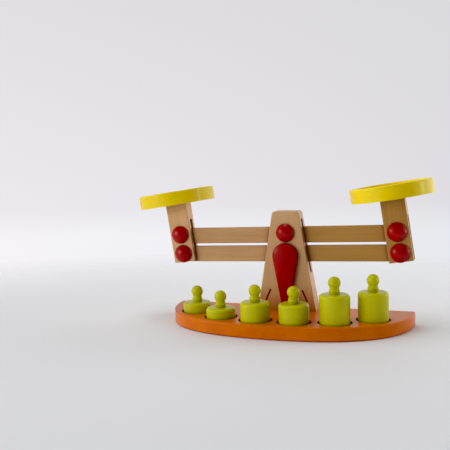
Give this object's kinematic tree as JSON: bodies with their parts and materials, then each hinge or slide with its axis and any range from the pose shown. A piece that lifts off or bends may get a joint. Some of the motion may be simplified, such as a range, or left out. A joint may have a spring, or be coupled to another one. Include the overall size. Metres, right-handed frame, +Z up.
{
  "type": "toy balance scale",
  "caption": "Wooden toy balance scale: a parallelogram of beams pinned to a column keeps a pan on a post level at each end, with a hanging pointer and knobbed weights in the base.",
  "frame": {"origin": "on the underside of the base, below the middle of the column, so the column's middle plane is y = 0", "axes": "+X to the viewer's right along the beams, -Y out of the front with the pointer, +Z up"},
  "size_m": [0.3788, 0.1439, 0.1811],
  "materials": {
    "orange_paint": "orange gloss paint",
    "pale_wood": "satin lacquer over pale wood",
    "dowel_wood": "raw turned wood",
    "red_paint": "red gloss paint",
    "tick_paint": "dark red paint in a shallow groove",
    "yellow_paint": "yellow gloss paint",
    "green_paint": "lime green gloss paint",
    "screw_steel": "zinc plated"
  },
  "bodies": {
    "stand": {"base": "orange_paint", "column": "pale_wood", "column_screws": "screw_steel", "tick_marks": "tick_paint", "upper_pivot_dowel": "dowel_wood", "upper_pivot_button": "red_paint"},
    "lower_beam": {"lower_beam": "pale_wood", "pointer": "red_paint", "pointer_dowel": "dowel_wood"},
    "upper_beam": {"upper_beam": "pale_wood"},
    "left_post": {"left_post": "pale_wood", "left_pan": "yellow_paint", "left_pan_dowel": "dowel_wood", "left_lower_dowel": "dowel_wood", "left_lower_button": "red_paint", "left_upper_dowel": "dowel_wood", "left_upper_button": "red_paint"},
    "right_post": {"right_post": "pale_wood", "right_pan": "yellow_paint", "right_pan_dowel": "dowel_wood", "right_lower_dowel": "dowel_wood", "right_lower_button": "red_paint", "right_upper_dowel": "dowel_wood", "right_upper_button": "red_paint"},
    "weight_1": {"weight_1_body": "green_paint", "weight_1_knob": "green_paint"},
    "weight_2": {"weight_2_body": "green_paint", "weight_2_knob": "green_paint"},
    "weight_3": {"weight_3_body": "green_paint", "weight_3_knob": "green_paint"},
    "weight_4": {"weight_4_body": "green_paint", "weight_4_knob": "green_paint"},
    "weight_5": {"weight_5_body": "green_paint", "weight_5_knob": "green_paint"},
    "weight_6": {"weight_6_body": "green_paint", "weight_6_knob": "green_paint"}
  },
  "joints": [
    {"name": "beam_tilt", "type": "hinge", "parent": "stand", "child": "lower_beam", "pos_m": [0, 0, 0.089], "axis": [0, -1, 0], "range_deg": [-21.4, 18.6]},
    {"name": "left_post_turn", "type": "hinge", "parent": "lower_beam", "child": "left_post", "pos_m": [-0.13956, 0, 0.08559], "axis": [0, -1, 0], "range_deg": [-18.6, 21.4]},
    {"name": "right_post_turn", "type": "hinge", "parent": "lower_beam", "child": "right_post", "pos_m": [0.13956, 0, 0.09241], "axis": [0, -1, 0], "range_deg": [-18.6, 21.4]},
    {"name": "upper_beam_turn", "type": "hinge", "parent": "left_post", "child": "upper_beam", "pos_m": [-0.14318, 0, 0.11075], "axis": [0, -1, 0], "range_deg": [-21.4, 18.6]},
    {"name": "weight_1_lift", "type": "slide", "parent": "stand", "child": "weight_1", "axis": [0, 0, 1], "range_m": [0, 0.05]},
    {"name": "weight_2_lift", "type": "slide", "parent": "stand", "child": "weight_2", "axis": [0, 0, 1], "range_m": [0, 0.05]},
    {"name": "weight_3_lift", "type": "slide", "parent": "stand", "child": "weight_3", "axis": [0, 0, 1], "range_m": [0, 0.05]},
    {"name": "weight_4_lift", "type": "slide", "parent": "stand", "child": "weight_4", "axis": [0, 0, 1], "range_m": [0, 0.05]},
    {"name": "weight_5_lift", "type": "slide", "parent": "stand", "child": "weight_5", "axis": [0, 0, 1], "range_m": [0, 0.05]},
    {"name": "weight_6_lift", "type": "slide", "parent": "stand", "child": "weight_6", "axis": [0, 0, 1], "range_m": [0, 0.05]}
  ],
  "couplings": [
    {"joint": "left_post_turn", "follows": "beam_tilt", "ratio": -1},
    {"joint": "right_post_turn", "follows": "beam_tilt", "ratio": -1},
    {"joint": "upper_beam_turn", "follows": "beam_tilt", "ratio": 1}
  ]
}
